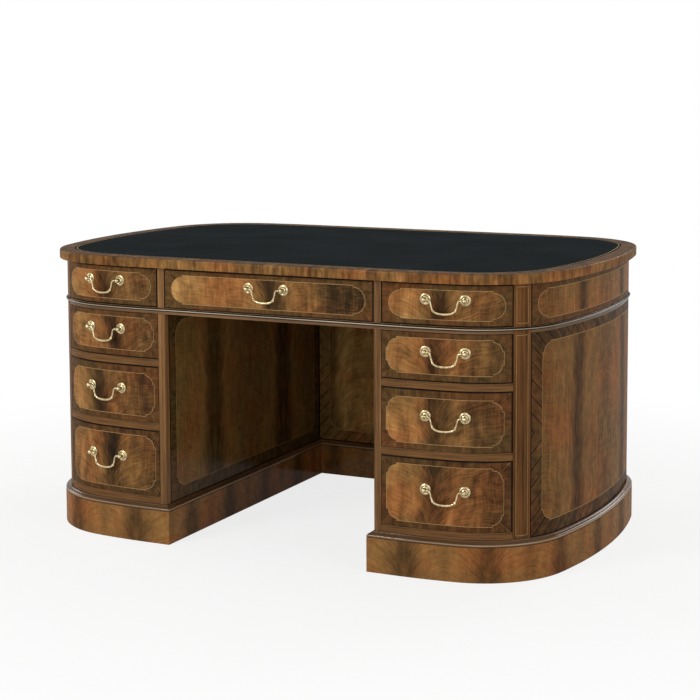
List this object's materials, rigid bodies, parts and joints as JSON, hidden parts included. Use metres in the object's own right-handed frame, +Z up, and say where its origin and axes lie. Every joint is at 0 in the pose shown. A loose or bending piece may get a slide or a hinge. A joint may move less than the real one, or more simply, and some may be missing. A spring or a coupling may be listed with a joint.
{
  "type": "pedestal desk",
  "caption": "Pedestal writing desk with bowed front, rounded ends, leather-lined top, plinth, open kneehole and inlaid drawers with swinging bail pulls.",
  "frame": {"origin": "on the floor under the middle of the desk, at the bottom centre of its box", "axes": "+Z up, the long side along X, drawers facing -Y"},
  "size_m": [1.5638, 1.0268, 0.775],
  "materials": {
    "veneer": "polished figured veneer",
    "solid_wood": "polished straight grain",
    "leather": "fine grain, tooled border",
    "brass": "aged satin"
  },
  "bodies": {
    "case": {"bead_moulding": "solid_wood", "centre_stile_left": "solid_wood", "centre_stile_right": "solid_wood", "desk_top": "veneer", "end_panel_left": "veneer", "end_panel_right": "veneer", "frieze_frame": "solid_wood", "frieze_partition_left": "solid_wood", "frieze_partition_right": "solid_wood", "frieze_wall": "veneer", "front_stile_left": "veneer", "front_stile_right": "veneer", "kneehole_back": "veneer", "kneehole_side_left": "veneer", "kneehole_side_right": "veneer", "leather_inset": "leather", "lower_frame_left": "solid_wood", "lower_frame_right": "solid_wood", "pedestal_floor_left": "solid_wood", "pedestal_floor_right": "solid_wood", "plinth": "veneer", "plinth_moulding": "solid_wood", "upper_frame_left": "solid_wood", "upper_frame_right": "solid_wood"},
    "left_lower_drawer_body": {"left_lower_drawer": "veneer", "left_lower_post_left": "brass", "left_lower_post_right": "brass"},
    "left_lower_bail_body": {"left_lower_bail": "brass"},
    "left_middle_drawer_body": {"left_middle_drawer": "veneer", "left_middle_post_left": "brass", "left_middle_post_right": "brass"},
    "left_middle_bail_body": {"left_middle_bail": "brass"},
    "left_upper_drawer_body": {"left_upper_drawer": "veneer", "left_upper_post_left": "brass", "left_upper_post_right": "brass"},
    "left_upper_bail_body": {"left_upper_bail": "brass"},
    "left_frieze_drawer_body": {"left_frieze_drawer": "veneer", "left_frieze_post_left": "brass", "left_frieze_post_right": "brass"},
    "left_frieze_bail_body": {"left_frieze_bail": "brass"},
    "right_lower_drawer_body": {"right_lower_drawer": "veneer", "right_lower_post_left": "brass", "right_lower_post_right": "brass"},
    "right_lower_bail_body": {"right_lower_bail": "brass"},
    "right_middle_drawer_body": {"right_middle_drawer": "veneer", "right_middle_post_left": "brass", "right_middle_post_right": "brass"},
    "right_middle_bail_body": {"right_middle_bail": "brass"},
    "right_upper_drawer_body": {"right_upper_drawer": "veneer", "right_upper_post_left": "brass", "right_upper_post_right": "brass"},
    "right_upper_bail_body": {"right_upper_bail": "brass"},
    "right_frieze_drawer_body": {"right_frieze_drawer": "veneer", "right_frieze_post_left": "brass", "right_frieze_post_right": "brass"},
    "right_frieze_bail_body": {"right_frieze_bail": "brass"},
    "centre_frieze_drawer_body": {"centre_frieze_drawer": "veneer", "centre_frieze_post_left": "brass", "centre_frieze_post_right": "brass"},
    "centre_frieze_bail_body": {"centre_frieze_bail": "brass"}
  },
  "joints": [
    {"name": "left_lower_drawer_slide", "type": "slide", "parent": "case", "child": "left_lower_drawer_body", "axis": [0, -1, 0], "range_m": [0, 0.45]},
    {"name": "left_lower_bail_hinge", "type": "hinge", "parent": "left_lower_drawer_body", "child": "left_lower_bail_body", "pos_m": [-0.5025, -0.49831, 0.22686], "axis": [-0.9935, 0.1136, 0], "range_deg": [0, 110]},
    {"name": "left_middle_drawer_slide", "type": "slide", "parent": "case", "child": "left_middle_drawer_body", "axis": [0, -1, 0], "range_m": [0, 0.45]},
    {"name": "left_middle_bail_hinge", "type": "hinge", "parent": "left_middle_drawer_body", "child": "left_middle_bail_body", "pos_m": [-0.5025, -0.49831, 0.41385], "axis": [-0.9935, 0.1136, 0], "range_deg": [0, 110]},
    {"name": "left_upper_drawer_slide", "type": "slide", "parent": "case", "child": "left_upper_drawer_body", "axis": [0, -1, 0], "range_m": [0, 0.45]},
    {"name": "left_upper_bail_hinge", "type": "hinge", "parent": "left_upper_drawer_body", "child": "left_upper_bail_body", "pos_m": [-0.5025, -0.49831, 0.57634], "axis": [-0.9935, 0.1136, 0], "range_deg": [0, 110]},
    {"name": "left_frieze_drawer_slide", "type": "slide", "parent": "case", "child": "left_frieze_drawer_body", "axis": [0, -1, 0], "range_m": [0, 0.38]},
    {"name": "left_frieze_bail_hinge", "type": "hinge", "parent": "left_frieze_drawer_body", "child": "left_frieze_bail_body", "pos_m": [-0.5025, -0.49831, 0.70833], "axis": [-0.9935, 0.1136, 0], "range_deg": [0, 110]},
    {"name": "right_lower_drawer_slide", "type": "slide", "parent": "case", "child": "right_lower_drawer_body", "axis": [0, -1, 0], "range_m": [0, 0.45]},
    {"name": "right_lower_bail_hinge", "type": "hinge", "parent": "right_lower_drawer_body", "child": "right_lower_bail_body", "pos_m": [0.5025, -0.49831, 0.22686], "axis": [-0.9935, -0.1136, 0], "range_deg": [0, 110]},
    {"name": "right_middle_drawer_slide", "type": "slide", "parent": "case", "child": "right_middle_drawer_body", "axis": [0, -1, 0], "range_m": [0, 0.45]},
    {"name": "right_middle_bail_hinge", "type": "hinge", "parent": "right_middle_drawer_body", "child": "right_middle_bail_body", "pos_m": [0.5025, -0.49831, 0.41385], "axis": [-0.9935, -0.1136, 0], "range_deg": [0, 110]},
    {"name": "right_upper_drawer_slide", "type": "slide", "parent": "case", "child": "right_upper_drawer_body", "axis": [0, -1, 0], "range_m": [0, 0.45]},
    {"name": "right_upper_bail_hinge", "type": "hinge", "parent": "right_upper_drawer_body", "child": "right_upper_bail_body", "pos_m": [0.5025, -0.49831, 0.57634], "axis": [-0.9935, -0.1136, 0], "range_deg": [0, 110]},
    {"name": "right_frieze_drawer_slide", "type": "slide", "parent": "case", "child": "right_frieze_drawer_body", "axis": [0, -1, 0], "range_m": [0, 0.38]},
    {"name": "right_frieze_bail_hinge", "type": "hinge", "parent": "right_frieze_drawer_body", "child": "right_frieze_bail_body", "pos_m": [0.5025, -0.49831, 0.70833], "axis": [-0.9935, -0.1136, 0], "range_deg": [0, 110]},
    {"name": "centre_frieze_drawer_slide", "type": "slide", "parent": "case", "child": "centre_frieze_drawer_body", "axis": [0, -1, 0], "range_m": [0, 0.38]},
    {"name": "centre_frieze_bail_hinge", "type": "hinge", "parent": "centre_frieze_drawer_body", "child": "centre_frieze_bail_body", "pos_m": [0, -0.5069, 0.70833], "axis": [-1, 0, 0], "range_deg": [0, 110]}
  ]
}
